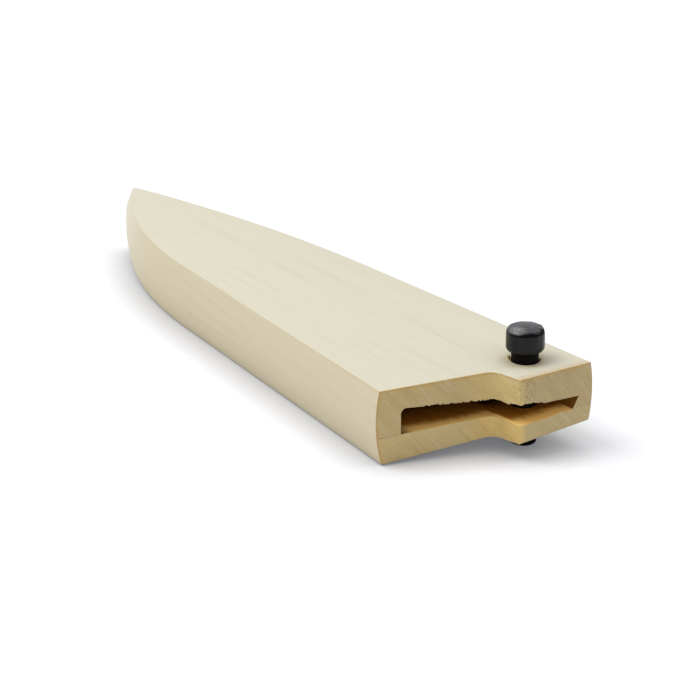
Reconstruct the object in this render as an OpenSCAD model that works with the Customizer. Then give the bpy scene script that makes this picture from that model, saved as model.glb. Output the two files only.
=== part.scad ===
// Wooden blade sheath for a kitchen knife: two glued halves and a push-in locking pin.
// Millimetres. X runs from the mouth to the point, +Y is the side of the blade's spine, and
// +Z is the side of the pin's head. Z 0 is the glue line, where the blade's flat side lies.
// X 0 is the face of the ear that reaches past the blade's heel, and Y 0 is half the width.
// The outline is drawn where the rounded side walls are fullest, and the walls fall away from it.

/* [Outline] */
// Length from the ear's face to where spine and edge meet at the point
sheath_l = 156; // [130:1:190]
// Width at the mouth, over the fullest line of the side walls
sheath_w = 46.8; // [42:0.2:54]
// Distance of the point from the spine line, measured square to the length
tip_drop = 25.4; // [21:0.2:29]
// Angle at which the straight part of the spine side falls, in degrees
spine_fall = 3.2; // [2:0.1:4.5]
// Angle at which the straight part of the edge side rises, in degrees
edge_rise = 3.8; // [2.5:0.1:5]
// Straight part of the spine side
spine_run = 96; // [80:1:104]
// Straight part of the edge side
edge_run = 72; // [56:1:90]
// Radius that takes the sharpness off the point
tip_r = 1.6; // [1.2:0.1:3]

/* [Cross-section] */
// Thickness over the blade's spine
spine_t = 16; // [15:0.1:19]
// Thickness over the blade's edge
edge_t = 12.7; // [11.6:0.1:15]
// Thickness of the flat half at the spine
back_spine_t = 5.9; // [4.5:0.1:7]
// Thickness of the flat half at the edge
back_edge_t = 3.5; // [3:0.1:5]
// Radius of the barrel-rounded side walls
wall_r = 32; // [24:1:60]
// Height of the fullest line of the side walls over the glue line
wall_z = 3; // [1:0.1:4]

/* [Mouth] */
// Width of the ear that reaches past the blade's heel
ear_w = 18.7; // [16:0.1:22]
// Depth of the mouth's recess at the spine side
recess_spine = 10.4; // [7:0.1:14]
// Depth of the recess where it meets the step of the ear
recess_step = 6.4; // [4:0.1:9]
// Angle by which the step leans towards the spine, in degrees
step_lean = 12; // [0:1:20]
// Radius of the hollow corner between recess and step
step_r = 3; // [1:0.1:4]
// Depth of the hand-worked easing where the heel slides over the flat half
ease_back = 0.45; // [0.2:0.05:0.8]
// Depth of the easing in the roof of the slot, at the step's corner
ease_roof = 0.65; // [0.3:0.05:1]

/* [Blade slot] */
// Wall between the slot and the outside at the spine
spine_wall = 5.5; // [4.5:0.1:7]
// Wall between the slot and the outside at the edge
edge_wall = 3.6; // [3:0.1:5]
// Height of the slot at the blade's spine
slot_spine_h = 5.55; // [4.6:0.05:6.5]
// Height of the slot at the line where the blade's grind begins
slot_ridge_h = 3.65; // [3:0.05:4.2]
// Height of the slot at the blade's edge
slot_edge_h = 2.5; // [2:0.05:2.9]
// Distance of the grind line from the slot's spine wall
ridge_in = 18.5; // [12:0.5:24]
// Radius of the slot's upper corner at the spine
slot_r = 1.2; // [0.6:0.1:2]
// Angle at which the slot gets lower towards the point, as the blade thins, in degrees
slot_thin = 0.5; // [0:0.1:0.6]

/* [Pin] */
// Diameter of the pin's shank
shank_d = 5.6; // [4.6:0.1:6.4]
// Radial clearance of the shank in its hole
pin_fit = 0.05; // [0.02:0.01:0.09]
// Diameter of the pin's head
head_d = 7.9; // [7.2:0.1:9.5]
// Height of the head from its underside to the rim of its top
head_h = 4.2; // [3.5:0.1:7]
// Length of the shank below the head
shank_l = 20.1; // [18:0.1:24]
// Gap that is left under the head when the pin is pushed in by hand
head_gap = 2.05; // [0.8:0.05:3]
// Distance of the pin's axis behind the ear's face
pin_in = 8.2; // [6:0.1:10]
// Distance of the pin's axis from the step, across the ear
pin_off = 7.5; // [6:0.1:9]
// Radius under the head's rim
head_r = 1.1; // [0.4:0.1:1.6]
// Width of the bevel round the top of the head
head_bevel = 1; // [0.4:0.1:1.5]
// Height of that bevel
bevel_h = 0.8; // [0.2:0.05:1.2]
// Height of the slight crown on top of the head
crown_h = 0.25; // [0.1:0.05:0.5]
// Bevel at the end of the shank
end_bevel = 0.4; // [0.2:0.1:0.8]

/* [Hidden] */
$fn = 96;

half_w = sheath_w / 2;
tip = [sheath_l, half_w - tip_drop];
step_y = ear_w - half_w;
pin_at = [pin_in, step_y - pin_off];
over = 12;
inward = sheath_w + over;
// Round corners are drawn this much larger, so that a round crosses its flats and doesn't graze them
hair = 0.01;

// Height of the show face and of the underside over a place across the width
top_spine = spine_t - back_spine_t;
top_edge = edge_t - back_edge_t;
function top_z(y) = top_spine + (top_edge - top_spine) * (half_w - y) / sheath_w;
function under_z(y) = -back_spine_t + (back_spine_t - back_edge_t) * (half_w - y) / sheath_w;

// One side of the outline, seen as the spine side: a line that falls by an angle from Y half_w,
// then the arc that leaves it smoothly and passes through the point at end.
function leave_at(fall, run) = [run, half_w - run * tan(fall)];
function along(fall) = [cos(fall), -sin(fall)];
function inner(fall) = [-sin(fall), -cos(fall)];
function chord(fall, run, end) = end - leave_at(fall, run);
function side_r(fall, run, end) =
    let (c = chord(fall, run, end))
    (c * c) / (2 * (c * inner(fall)));
function side_turn(fall, run, end) =
    let (c = chord(fall, run, end), r = side_r(fall, run, end))
    atan2(c * along(fall), r - c * inner(fall));

// Carries a section along one side. In the section X 0 is the outline and -X is inward.
// Line and arc are both placed from the point where they meet, so that they meet exactly.
module along_side(fall, run, end) {
    r = side_r(fall, run, end);
    sweep = ceil(side_turn(fall, run, end) + 5);
    back = ceil(run + 2 * over);
    translate([0, half_w, 0])
        rotate([0, 0, -fall])
            translate([run / cos(fall), 0, 0]) {
                translate([-back, 0, 0])
                    rotate([90, 0, 90])
                        linear_extrude(height = back)
                            children();
                translate([0, -r, 0])
                    mirror([1, -1, 0])
                        rotate_extrude(angle = sweep, $fn = 360)
                            translate([r, 0])
                                children();
            }
}

module spine_side() {
    along_side(spine_fall, spine_run, tip)
        children();
}

module edge_side() {
    mirror([0, 1, 0])
        along_side(edge_rise, edge_run, [tip[0], -tip[1]])
            children();
}

// Section of a barrel-rounded wall, full at X 0
module wall_section() {
    low = -back_spine_t - 2;
    high = top_spine + 2;
    intersection() {
        union() {
            translate([-wall_r, wall_z])
                circle(r = wall_r, $fn = 360);
            translate([-inward - wall_r, wall_z - wall_r])
                square([inward, 2 * wall_r]);
        }
        translate([-inward, low])
            square([inward + 1, high - low]);
    }
}

// The point's rounding: what lies between the two sides and past the small arc.
// Its section is the same barrel wall, turned about the centre of the arc.
tip_dir_s = side_turn(spine_fall, spine_run, tip) + spine_fall;
tip_dir_e = side_turn(edge_rise, edge_run, [tip[0], -tip[1]]) + edge_rise;
tip_half = (tip_dir_s + tip_dir_e) / 2;
tip_axis = (tip_dir_e - tip_dir_s) / 2;
tip_mid = tip - (tip_r / sin(tip_half)) * [cos(tip_axis), sin(tip_axis)];

module tip_cut() {
    low = -back_spine_t - 2;
    high = top_spine + 2;
    difference() {
        translate([0, 0, low])
            linear_extrude(height = high - low)
                polygon([
                    tip_mid,
                    tip_mid + 2 * tip_r * [cos(90 - tip_dir_s), sin(90 - tip_dir_s)],
                    tip_mid + 6 * tip_r * [cos(tip_axis), sin(tip_axis)],
                    tip_mid + 2 * tip_r * [cos(tip_dir_e - 90), sin(tip_dir_e - 90)]
                ]);
        translate([tip_mid[0], tip_mid[1], 0])
            rotate_extrude()
                intersection() {
                    translate([tip_r - wall_r, wall_z])
                        circle(r = wall_r, $fn = 360);
                    translate([0, low - 1])
                        square([tip_r + 1, high - low + 2]);
                }
    }
}

// Recess of the mouth in plan, with its hollow corner. corner is where recess and step would meet.
lean = tan(step_lean);
slant = (recess_spine - recess_step) / (half_w - step_y);
corner_x = (recess_spine - slant * (half_w - step_y)) / (1 - slant * lean);
corner = [corner_x, step_y + lean * corner_x];
to_spine = [slant, 1] / norm([slant, 1]);
to_ear = [-1, -lean] / norm([1, lean]);
corner_half = acos(to_spine * to_ear) / 2;
corner_mid = corner + (to_spine + to_ear) / norm(to_spine + to_ear) * step_r / sin(corner_half);
corner_cut = step_r / tan(corner_half);

module recess() {
    far = half_w + over;
    translate([0, 0, -back_spine_t - 2])
        linear_extrude(height = spine_t + 4)
            union() {
                polygon([
                    [-over, step_y - lean * over],
                    corner + to_ear * corner_cut,
                    corner + to_spine * corner_cut,
                    [recess_spine + slant * over, far],
                    [-over, far]
                ]);
                translate(corner_mid)
                    circle(r = step_r + hair);
            }
}

// Blank of one half: the slab between the glue line and an outer face, inside both sides
module blank(outer_spine, outer_edge) {
    slope = (outer_edge - outer_spine) / sheath_w;
    difference() {
        intersection() {
            rotate([90, 0, 90])
                linear_extrude(height = sheath_l + over)
                    polygon([
                        [-half_w - over, 0],
                        [half_w + over, 0],
                        [half_w + over, outer_spine - slope * over],
                        [-half_w - over, outer_edge + slope * over]
                    ]);
            spine_side()
                wall_section();
            edge_side()
                wall_section();
        }
        tip_cut();
        recess();
        pin_hole();
    }
}

module pin_hole() {
    translate([pin_at[0], pin_at[1], -back_spine_t - 2])
        cylinder(r = shank_d / 2 + pin_fit, h = spine_t + 4);
}

// Section of the slot in the same sense as a side: flat floor, roof that follows the blade.
// It is drawn wider than the slot, and the plan of the walls trims it.
ridge_x = -spine_wall - ridge_in;
edge_x = edge_wall - sheath_w;
roof_slope = (slot_spine_h - slot_ridge_h) / ridge_in;
grind_slope = (slot_ridge_h - slot_edge_h) / (ridge_x - edge_x);
round_z = slot_spine_h - slot_r * (roof_slope + sqrt(1 + roof_slope * roof_slope));

module slot_section() {
    tilt = atan(roof_slope);
    union() {
        polygon([
            [-spine_wall + 1, -6],
            [-spine_wall + 1, round_z],
            [-spine_wall - slot_r, round_z],
            [-spine_wall - slot_r - slot_r * sin(tilt), round_z + slot_r * cos(tilt)],
            [ridge_x, slot_ridge_h],
            [edge_x - over, slot_edge_h - grind_slope * over],
            [edge_x - over, -6]
        ]);
        translate([-spine_wall - slot_r, round_z])
            circle(r = slot_r + hair);
    }
}

// Plan of one side, drawn in by the wall and closed across the width
function side_point(fall, run, end, wall, turn) =
    let (r = side_r(fall, run, end))
    leave_at(fall, run) + inner(fall) * r + (along(fall) * sin(turn) - inner(fall) * cos(turn)) * (r - wall);

module side_plan(fall, run, end, wall) {
    steps = 16;
    full = side_turn(fall, run, end) + 3;
    last = side_point(fall, run, end, wall, full);
    polygon(concat(
        [[-over, -inward], leave_at(fall, -over) + inner(fall) * wall],
        [for (i = [0:steps]) side_point(fall, run, end, wall, full * i / steps)],
        [[last[0], -inward]]
    ));
}

module slot() {
    intersection() {
        translate([0, half_w, 0])
            rotate([0, 0, -spine_fall])
                translate([recess_spine, 0, 0])
                    rotate([0, slot_thin, 0])
                        translate([-recess_spine - over, 0, 0])
                            rotate([90, 0, 90])
                                linear_extrude(height = sheath_l + 2 * over)
                                    slot_section();
        translate([0, 0, -1])
            linear_extrude(height = slot_spine_h + 2)
                intersection() {
                    side_plan(spine_fall, spine_run, tip, spine_wall);
                    mirror([0, 1])
                        side_plan(edge_rise, edge_run, [tip[0], -tip[1]], edge_wall);
                }
    }
}

// Shallow round easings that a gouge leaves at the mouth, as caps of large balls
module ease_floor() {
    r = 70;
    translate([-0.8, step_y - 2.8, r - ease_back])
        sphere(r = r, $fn = 180);
}

module ease_top() {
    r = 15;
    roof = slot_spine_h - roof_slope * ridge_in
        - grind_slope * (half_w - step_y - spine_wall - ridge_in);
    translate([-0.6, step_y - 1, roof + ease_roof - r])
        sphere(r = r, $fn = 120);
}

module upper_half() {
    color("#dcd2b8")
        difference() {
            blank(top_spine, top_edge);
            union() {
                slot();
                ease_top();
            }
        }
}

module lower_half() {
    color("#cdbf9c")
        difference() {
            blank(-back_spine_t, -back_edge_t);
            ease_floor();
        }
}

// The pin, turned: Z 0 of its section is the underside of the head
module pin_section() {
    r = head_d / 2;
    top = head_h + bevel_h;
    flat_r = r - head_bevel;
    crown_r = (flat_r * flat_r + crown_h * crown_h) / (2 * crown_h);
    union() {
        polygon([
            [0, -shank_l],
            [shank_d / 2 - end_bevel, -shank_l],
            [shank_d / 2, -shank_l + end_bevel],
            [shank_d / 2, head_r],
            [0, head_r]
        ]);
        polygon([
            [0, 0],
            [r - head_r, 0],
            [r - head_r, head_r],
            [r, head_r],
            [r, head_h],
            [flat_r, top],
            [0, top]
        ]);
        translate([r - head_r, head_r])
            circle(r = head_r);
        intersection() {
            translate([0, top + crown_h - crown_r])
                circle(r = crown_r, $fn = 360);
            translate([0, top - 0.1])
                square([flat_r, 1]);
        }
    }
}

module locking_pin() {
    color("#26262b")
        translate([pin_at[0], pin_at[1], top_z(pin_at[1]) + head_gap])
            rotate_extrude()
                pin_section();
}

upper_half();
lower_half();
locking_pin();
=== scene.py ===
"""Looks of a wooden knife sheath with its black locking pin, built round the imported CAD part.

Metres, in the frame of the CAD part: X from the mouth to the point, +Y the side of the blade's
spine, +Z the side of the pin's head, Z 0 the glue line.
"""

import logging
import math
import random
from collections.abc import Iterable, Iterator
from dataclasses import dataclass, field
from enum import Enum
from typing import Any

import bmesh
import bpy
from mathutils import Matrix, Vector, noise

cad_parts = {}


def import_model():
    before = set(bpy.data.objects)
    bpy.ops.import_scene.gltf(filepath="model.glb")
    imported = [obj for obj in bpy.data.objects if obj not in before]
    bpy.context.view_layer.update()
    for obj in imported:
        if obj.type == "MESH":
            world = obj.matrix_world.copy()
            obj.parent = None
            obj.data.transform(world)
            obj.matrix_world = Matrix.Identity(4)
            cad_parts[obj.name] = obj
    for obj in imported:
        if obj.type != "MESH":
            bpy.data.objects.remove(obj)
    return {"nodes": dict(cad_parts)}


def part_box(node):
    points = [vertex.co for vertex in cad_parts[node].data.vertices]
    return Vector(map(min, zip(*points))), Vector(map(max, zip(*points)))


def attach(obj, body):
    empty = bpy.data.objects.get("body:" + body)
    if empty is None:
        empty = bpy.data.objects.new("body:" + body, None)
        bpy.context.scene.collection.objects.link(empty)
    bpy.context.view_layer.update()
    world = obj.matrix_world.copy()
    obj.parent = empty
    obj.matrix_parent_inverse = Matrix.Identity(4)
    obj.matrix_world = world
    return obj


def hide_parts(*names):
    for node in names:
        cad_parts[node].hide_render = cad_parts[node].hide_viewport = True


frame: dict[str, Any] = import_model()

log = logging.getLogger("sheath")

MM = 0.001

# The CAD part's planes and places, in millimetres: height over the middle of the width, and rise
# for each millimetre towards the spine
SHOW_FACE = 9.65
SHOW_RISE = 0.01923
UNDERSIDE = -4.7
UNDER_RISE = -0.05128
PIN_AXIS = (8.2, -12.2)
PIN_END = -8.66
# The side walls' barrel curve: its radius, and the height where it is fullest
WALL_R = 32.0
WALL_Z = 3.0

Colour = tuple[float, float, float, float]
Pair = tuple[float, float]
Triple = tuple[float, float, float]
Socket = bpy.types.NodeSocket


class Body(Enum):
    """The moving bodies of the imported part."""

    SHEATH = "sheath"
    PIN = "pin"


class Slot(Enum):
    """The record's material slots."""

    SHOW_WOOD = "pale_wood"
    BACK_WOOD = "pale_wood_back"
    BLACK_WOOD = "black_wood"


def srgb(red: float, green: float, blue: float) -> Colour:
    """Turns a colour of 0 to 255 per channel into the linear values that shaders take.

    Args:
        red: Red, 0 to 255.
        green: Green, 0 to 255.
        blue: Blue, 0 to 255.

    Returns:
        The linear colour with full alpha.
    """

    def channel(value: float) -> float:
        """One channel, by the standard curve."""
        v = value / 255
        return v / 12.92 if v <= 0.04045 else ((v + 0.055) / 1.055) ** 2.4

    return (channel(red), channel(green), channel(blue), 1.0)


def smooth(value: float, low: float, high: float) -> float:
    """A soft step from 0 at low to 1 at high.

    Args:
        value: The number to place.
        low: Where the step starts.
        high: Where the step ends, above or below low.

    Returns:
        A number from 0 to 1.
    """
    t = min(1.0, max(0.0, (value - low) / (high - low)))
    return t * t * (3 - 2 * t)


def in_mm(place: Vector) -> Iterator[float]:
    """Gives a place's coordinates in millimetres."""
    return (c / MM for c in place)


class Bench:
    """The few hand moves of modelling that every piece here uses."""

    @staticmethod
    def clear() -> None:
        """Leaves edit mode and deselects everything."""
        if bpy.context.object and bpy.context.object.mode != "OBJECT":
            bpy.ops.object.mode_set(mode="OBJECT")
        bpy.ops.object.select_all(action="DESELECT")

    @staticmethod
    def pick(piece: bpy.types.Object) -> None:
        """Makes one piece the only selected and the active one.

        Args:
            piece: The mesh object.
        """
        Bench.clear()
        piece.select_set(True)
        bpy.context.view_layer.objects.active = piece

    @staticmethod
    def edit(piece: bpy.types.Object) -> bmesh.types.BMesh:
        """Opens a piece in edit mode with nothing selected.

        Args:
            piece: The mesh object.

        Returns:
            The mesh being edited.
        """
        Bench.pick(piece)
        bpy.ops.object.mode_set(mode="EDIT")
        bpy.ops.mesh.select_all(action="DESELECT")
        return bmesh.from_edit_mesh(piece.data)

    @staticmethod
    def done() -> None:
        """Goes back to object mode."""
        bpy.ops.object.mode_set(mode="OBJECT")

    @staticmethod
    def settle(piece: bpy.types.Object) -> None:
        """Puts a piece's place, turn and scale into its mesh."""
        Bench.pick(piece)
        bpy.ops.object.transform_apply(location=True, rotation=True, scale=True)

    @staticmethod
    def join(pieces: Iterable[bpy.types.Object], name: str) -> bpy.types.Object:
        """Joins pieces into one.

        Args:
            pieces: The mesh objects, which become one.
            name: The name of the joined piece.

        Returns:
            The joined piece.
        """
        members = list(pieces)
        Bench.clear()
        for member in members:
            member.select_set(True)
        bpy.context.view_layer.objects.active = members[0]
        bpy.ops.object.join()
        joined = bpy.context.object
        joined.name = name
        joined.data.name = name
        Bench.settle(joined)
        return joined

    @staticmethod
    def apply(piece: bpy.types.Object) -> None:
        """Applies all of a piece's modifiers.

        Args:
            piece: The mesh object.
        """
        Bench.pick(piece)
        for modifier in list(piece.modifiers):
            bpy.ops.object.modifier_apply(modifier=modifier.name)

    @staticmethod
    def copy_node(node: str, name: str) -> bpy.types.Object:
        """Copies a CAD node's mesh as the start of the piece that stands for it.

        Args:
            node: The CAD node's name.
            name: The new piece's name.

        Returns:
            The copy, free of the frame, with its doubles merged and its flat faces whole.
        """
        source = frame["nodes"][node]
        piece = bpy.data.objects.new(name, source.data.copy())
        piece.data.name = name
        piece.data.materials.clear()
        bpy.context.scene.collection.objects.link(piece)
        Bench.edit(piece)
        bpy.ops.mesh.select_all(action="SELECT")
        bpy.ops.mesh.remove_doubles(threshold=1e-6)
        bpy.ops.mesh.dissolve_limited(angle_limit=math.radians(0.5))
        bpy.ops.mesh.customdata_custom_splitnormals_clear()
        Bench.done()
        return piece


class NodeBoard:
    """A shader's node tree, written in short calls."""

    def __init__(self, owner: bpy.types.Material | bpy.types.World) -> None:
        """Opens an empty node tree.

        Args:
            owner: The material or world that the tree is for.
        """
        self.owner = owner
        owner.use_nodes = True
        self.tree = owner.node_tree
        self.tree.nodes.clear()

    def node(self, kind: str, inputs: dict[Any, Any] | None = None,
             **settings: Any) -> bpy.types.Node:
        """Adds a node.

        Args:
            kind: The node's type, without the leading ShaderNode.
            inputs: Values or sockets, by the input's name or number.
            **settings: The node's own settings.

        Returns:
            The node.
        """
        made = self.tree.nodes.new("ShaderNode" + kind)
        for key, value in settings.items():
            setattr(made, key, value)
        for key, value in (inputs or {}).items():
            if isinstance(value, Socket):
                self.tree.links.new(value, made.inputs[key])
            else:
                made.inputs[key].default_value = value
        return made

    def math(self, operation: str, *values: Any) -> Socket:
        """Works a sum on numbers or sockets and gives its result."""
        return self.node("Math", dict(enumerate(values)), operation=operation).outputs[0]

    def times(self, first: Any, second: Any) -> Socket:
        """The product of two numbers or sockets."""
        return self.math("MULTIPLY", first, second)

    def plus(self, first: Any, second: Any) -> Socket:
        """The sum of two numbers or sockets."""
        return self.math("ADD", first, second)

    def minus(self, first: Any, second: Any) -> Socket:
        """The first number or socket less the second."""
        return self.math("SUBTRACT", first, second)

    def larger(self, first: Any, second: Any) -> Socket:
        """The larger of two numbers or sockets."""
        return self.math("MAXIMUM", first, second)

    def size(self, value: Socket) -> Socket:
        """A number without its sign."""
        return self.math("ABSOLUTE", value)

    def step(self, value: Socket, low: float, high: float, top: float = 1.0) -> Socket:
        """A soft step from 0 at low to top at high.

        Args:
            value: The number to place.
            low: Where the step starts.
            high: Where it ends.
            top: What it rises to.

        Returns:
            The stepped value.
        """
        flip = high < low
        inputs = {"Value": value, "From Min": min(low, high), "From Max": max(low, high)}
        inputs |= {"To Min": top if flip else 0.0, "To Max": 0.0 if flip else top}
        return self.node("MapRange", inputs, interpolation_type="SMOOTHSTEP").outputs[0]

    def mix(self, share: Any, first: Any, second: Any) -> Socket:
        """Mixes two colours.

        Args:
            share: The share of the second colour.
            first: The colour at 0.
            second: The colour at 1.

        Returns:
            The mixed colour.
        """
        inputs = {0: share, 6: first, 7: second}
        return self.node("Mix", inputs, data_type="RGBA").outputs[2]

    def place(self, vector: Socket, scale: Triple, turn: Triple = (0, 0, 0),
              shift: Triple = (0, 0, 0)) -> Socket:
        """Scales, turns and shifts a pattern.

        Args:
            vector: The coordinates.
            scale: The scale along each axis.
            turn: The turn about each axis, in degrees.
            shift: The shift after scale and turn.

        Returns:
            The new coordinates.
        """
        inputs = {"Vector": vector, "Scale": scale, "Location": shift,
                  "Rotation": tuple(math.radians(a) for a in turn)}
        return self.node("Mapping", inputs).outputs[0]

    def noise(self, vector: Socket, scale: float = 1.0, detail: float = 3.0,
              rough: float = 0.5) -> Socket:
        """Fractal noise from 0 to 1 round 0.5.

        Args:
            vector: The coordinates.
            scale: The pattern's scale.
            detail: How many finer layers it has.
            rough: How strong the finer layers are.

        Returns:
            The noise value.
        """
        inputs = {"Vector": vector, "Scale": scale, "Detail": detail, "Roughness": rough}
        return self.node("TexNoise", inputs).outputs[0]

    def streaks(self, vector: Socket, stretch: Triple, detail: float = 3.0, rough: float = 0.5,
                shift: Triple = (0, 0, 0)) -> Socket:
        """Noise that is drawn out along some axes.

        Args:
            vector: The coordinates.
            stretch: The pattern's scale along each axis.
            detail: How many finer layers it has.
            rough: How strong the finer layers are.
            shift: The shift that sets it apart from other patterns.

        Returns:
            The noise value.
        """
        return self.noise(self.place(vector, stretch, shift=shift), 1.0, detail, rough)

    def away(self, vector: Socket, place: Triple) -> Socket:
        """How far the coordinates are from a place."""
        return self.node("VectorMath", {0: vector, 1: place}, operation="DISTANCE").outputs["Value"]

    def finish(self, shader: bpy.types.Node) -> bpy.types.Material:
        """Joins the last shader to the output and gives the material."""
        self.node("OutputMaterial", {"Surface": shader.outputs[0]})
        return self.owner


@dataclass(frozen=True)
class Spot:
    """A place on a surface as shader sockets: its coordinates in millimetres and where it faces."""

    mm: Socket
    x: Socket
    y: Socket
    z: Socket
    face_x: Socket
    face_y: Socket
    face_z: Socket

    @classmethod
    def read(cls, board: NodeBoard) -> "Spot":
        """Reads the place from the object's own coordinates.

        Args:
            board: The material's node tree.

        Returns:
            The place.
        """
        where = board.node("TexCoord")
        mm = board.place(where.outputs["Object"], (1000, 1000, 1000))
        parts = board.node("SeparateXYZ", {0: mm}).outputs
        facing = board.node("SeparateXYZ", {0: where.outputs["Normal"]}).outputs
        return cls(mm, *parts, *facing)

    def flat(self, board: NodeBoard) -> Socket:
        """The place seen from above, without its height."""
        return board.node("CombineXYZ", {0: self.x, 1: self.y}).outputs[0]


@dataclass(frozen=True)
class PaleWood:
    """Bare, fine-sanded pale wood whose fibres run along X, with darker end grain at the mouth."""

    name: str
    end: Colour = srgb(196, 172, 119)
    ear: Colour = srgb(189, 168, 121)
    face: Colour = srgb(224, 219, 198)
    hollow: Colour = srgb(209, 185, 126)
    # The side walls' colour, darker and yellower than the face's: painted shade
    side: Colour = srgb(213, 203, 174)
    carved: Colour = srgb(164, 114, 32)
    carved_dark: Colour = srgb(116, 72, 16)
    # Painted light and shade in the slot: pale at the lit mouth, near black deep inside, darker on
    # the far wall
    carved_mouth_lit: Colour = srgb(251, 212, 132)
    carved_deep_shade: Colour = srgb(64, 32, 4)
    carved_wall_shade: Colour = srgb(112, 72, 14)
    # Golden tone of the painted glow along the arrises, and of the painted shade round the pin's
    # hole
    rim: Colour = srgb(196, 154, 80)
    grain: Colour = srgb(186, 168, 132)
    pore: Colour = srgb(104, 74, 36)
    glue: Colour = srgb(120, 96, 58)
    roughness: float = 0.62
    pith_y: float = 46.0
    pith_z: float = -62.0
    ring_gap: float = 2.6

    def material(self) -> bpy.types.Material:
        """Builds the wood."""
        return PaleLayers(self).material()


class PaleLayers:
    """Lays the colours of one pale wood over each other, from plain wood to the carved slot.

    Where a layer starts and ends is given in millimetres, and where a surface faces from -1 to 1.
    """

    def __init__(self, wood: PaleWood) -> None:
        """Starts with the colours of the faces, the side walls and the mouth; the side walls'
        darker, yellower tone is painted shade.

        Args:
            wood: The finish.
        """
        self.wood = wood
        self.board = board = NodeBoard(bpy.data.materials.new(wood.name))
        self.spot = spot = Spot.read(board)
        self.end_share = self._mouth_share()
        # The side walls take the side colour, painted shade that fades out towards the point
        side = board.step(board.size(spot.face_y), 0.3, 0.85)
        side = board.times(side, board.step(spot.x, 150.0, 112.0))
        hollow = board.times(board.step(spot.y, -6.3, -5.2), board.step(spot.y, 5.0, -2.0))
        end = board.mix(board.step(spot.y, -5.6, -7.0), wood.end, wood.ear)
        self.ground = board.mix(side, wood.face, wood.side)
        self._lay(self.end_share, board.mix(hollow, end, wood.hollow))

    def material(self) -> bpy.types.Material:
        """Lays every layer and closes the material.

        Returns:
            The material.
        """
        # The golden line is a painted glow at the arrises
        self._lay(self._arris_glow_share(), self.wood.rim)
        for layer in (self._shade_round_pin, self._rings, self._fibres, self._end_streaks, self._pores,
                      self._glue, self._carve):
            layer()
        inputs = {"Base Color": self.ground, "Roughness": self.wood.roughness}
        inputs |= {"Normal": self._bump(), "Specular IOR Level": 0.3}
        return self.board.finish(self.board.node("BsdfPrincipled", inputs))

    def _lay(self, share: Socket, colour: Any) -> None:
        """Lays a colour over what is there, by its share."""
        self.ground = self.board.mix(share, self.ground, colour)

    def _mouth_share(self) -> Socket:
        """Finds where the wood was cut across its fibres: the mouth, hollow corner and step.

        Returns:
            The share of end grain.
        """
        board, spot = self.board, self.spot
        ahead = board.step(board.times(spot.face_x, -1.0), 0.45, 0.9)
        across = board.step(board.size(spot.y), 21.6, 20.8)
        near = board.times(board.step(spot.x, 12.0, 11.2), across)
        upright = board.step(board.size(spot.face_z), 0.6, 0.3)
        return board.larger(ahead, board.times(near, upright))

    def _carve(self) -> None:
        """Lays the raw golden wood of the slot with painted light and shade: pale at its mouth,
        darker with the depth, near black deep inside and beside the spine-side wall, and darker on
        its far wall.
        """
        board, spot = self.board, self.spot
        level = board.step(board.size(spot.face_z), 0.75, 0.93)
        height = board.times(board.step(spot.z, -1.0, -0.6), board.step(spot.z, 6.2, 5.8))
        wall = board.times(board.step(spot.y, -17.6, -18.0), board.step(spot.face_y, 0.3, 0.6))
        wall = board.times(wall, board.step(spot.y, -21.5, -20.6))
        inside = board.times(board.larger(level, wall), height)
        recess = board.step(spot.y, -5.5, -3.0, 6.3)
        mouth_x = board.plus(recess, board.step(spot.y, 0.0, 18.0, 3.2))
        drift = board.times(board.noise(spot.mm, 0.7, 3.0), 1.6)
        behind = board.plus(board.minus(board.minus(spot.x, 0.6), mouth_x), drift)
        streak = board.streaks(spot.mm, (0.12, 1.6, 1.6), 4.0, 0.65, shift=(3, 7, 1))
        dark = board.step(streak, 0.4, 0.7, 0.6)
        carved = board.mix(dark, self.wood.carved, self.wood.carved_dark)
        # Painted light at the mouth, painted shade deeper in and beside the spine-side wall
        carved = board.mix(board.step(behind, 1.6, 4.8), self.wood.carved_mouth_lit, carved)
        far = board.larger(board.step(behind, 8.5, 13.5), board.step(spot.y, 14.0, 17.0, 0.75))
        carved = board.mix(far, carved, self.wood.carved_deep_shade)
        # Painted shade on the slot's far wall
        self._lay(inside, board.mix(wall, carved, self.wood.carved_wall_shade))

    def _arris_glow_share(self) -> Socket:
        """Finds the golden line along the end grain's arrises, and the faint one beside the face: a
        painted glow of light through the thin wood at the arrises.

        Returns:
            The line's share.
        """
        board, spot = self.board, self.spot
        top = board.minus(spot.z, board.math("MULTIPLY_ADD", spot.y, SHOW_RISE, SHOW_FACE))
        fall = board.math("POWER", board.minus(spot.z, WALL_Z), 2.0)
        wall = board.math("MULTIPLY_ADD", fall, 1 / (2 * WALL_R), spot.y)
        line = board.larger(board.step(top, -0.75, -0.15), board.step(wall, 22.1, 22.75))
        cross = board.step(board.times(spot.face_x, -1.0), 0.3, 0.6, 0.75)
        across = board.step(board.size(spot.y), 21.0, 20.0, 0.75)
        near = board.times(board.step(spot.x, 11.8, 11.2), across)
        upright = board.step(board.size(spot.face_z), 0.6, 0.3)
        share = board.times(line, board.larger(cross, board.times(near, upright)))
        arris = board.times(board.step(top, -0.9, -0.1), board.step(spot.face_y, 0.35, 0.7, 0.26))
        arris = board.times(arris, board.step(spot.x, 70.0, 5.0))
        front = board.times(board.step(spot.x, 2.4, 0.1, 0.36), board.step(spot.face_z, 0.8, 0.95))
        return board.larger(board.larger(share, arris), front)

    def _shade_round_pin(self) -> None:
        """Warms and darkens the show face round the pin's hole: painted warm shade round the pin.
        """
        board, spot = self.board, self.spot
        away = board.away(spot.flat(board), (*PIN_AXIS, 0.0))
        drift = board.times(board.minus(board.noise(spot.mm, 0.8, 3.0), 0.5), 2.0)
        # Painted warm shade round the pin's hole
        share = board.step(board.plus(away, drift), 6.2, 2.9, 0.34)
        share = board.times(share, board.step(spot.face_z, 0.8, 0.95))
        self._lay(share, self.wood.rim)

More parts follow.
